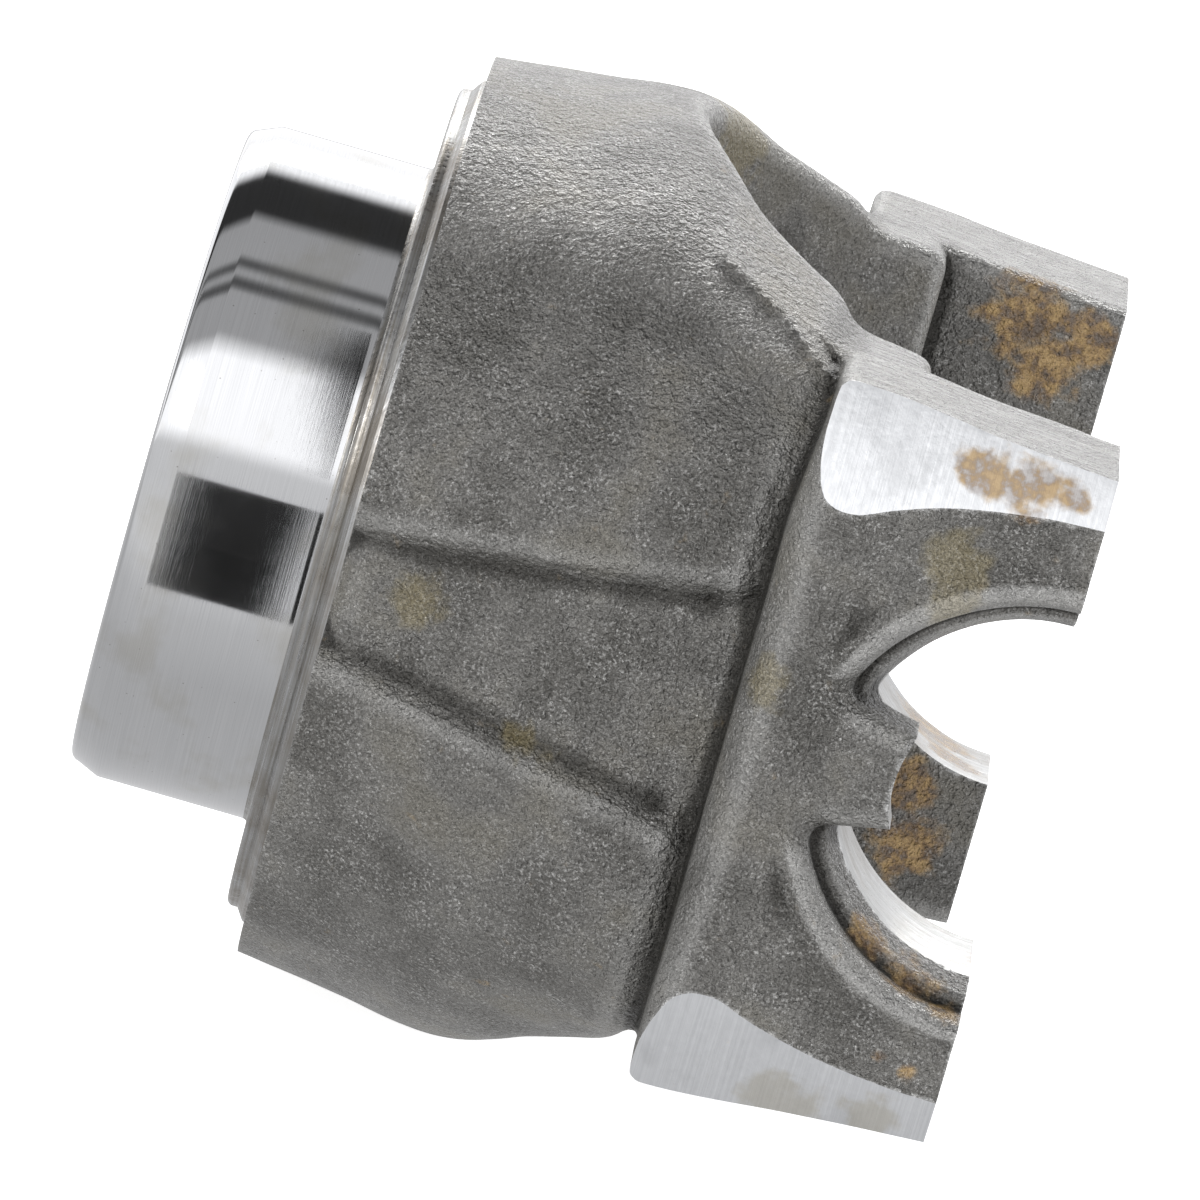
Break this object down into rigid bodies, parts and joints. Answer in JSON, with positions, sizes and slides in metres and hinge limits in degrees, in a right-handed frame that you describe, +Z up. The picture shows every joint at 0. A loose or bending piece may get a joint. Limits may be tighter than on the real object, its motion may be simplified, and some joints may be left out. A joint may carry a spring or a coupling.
{
  "type": "half-round driveshaft end yoke",
  "caption": "Forged steel half-round end yoke with a splined bore, ground seal journal, turned shoulder ring and two ears that seat a driveshaft joint cross.",
  "frame": {"origin": "centre of the joint: where the shaft axis meets the trunnion axis, in the plane of the ear tips", "axes": "+X along the shaft from the hub towards the ear tips, +Y along the trunnion axis through both saddles, +Z up"},
  "size_m": [0.125, 0.18, 0.1328],
  "materials": {
    "forged_steel": "grit-blasted forged steel skin, oiled",
    "turned_steel": "turned and bored steel with fine tool marks",
    "ground_steel": "ground seal journal, bright, with fine circumferential lines"
  },
  "bodies": {
    "root": {"end_yoke": "forged_steel"}
  },
  "joints": []
}
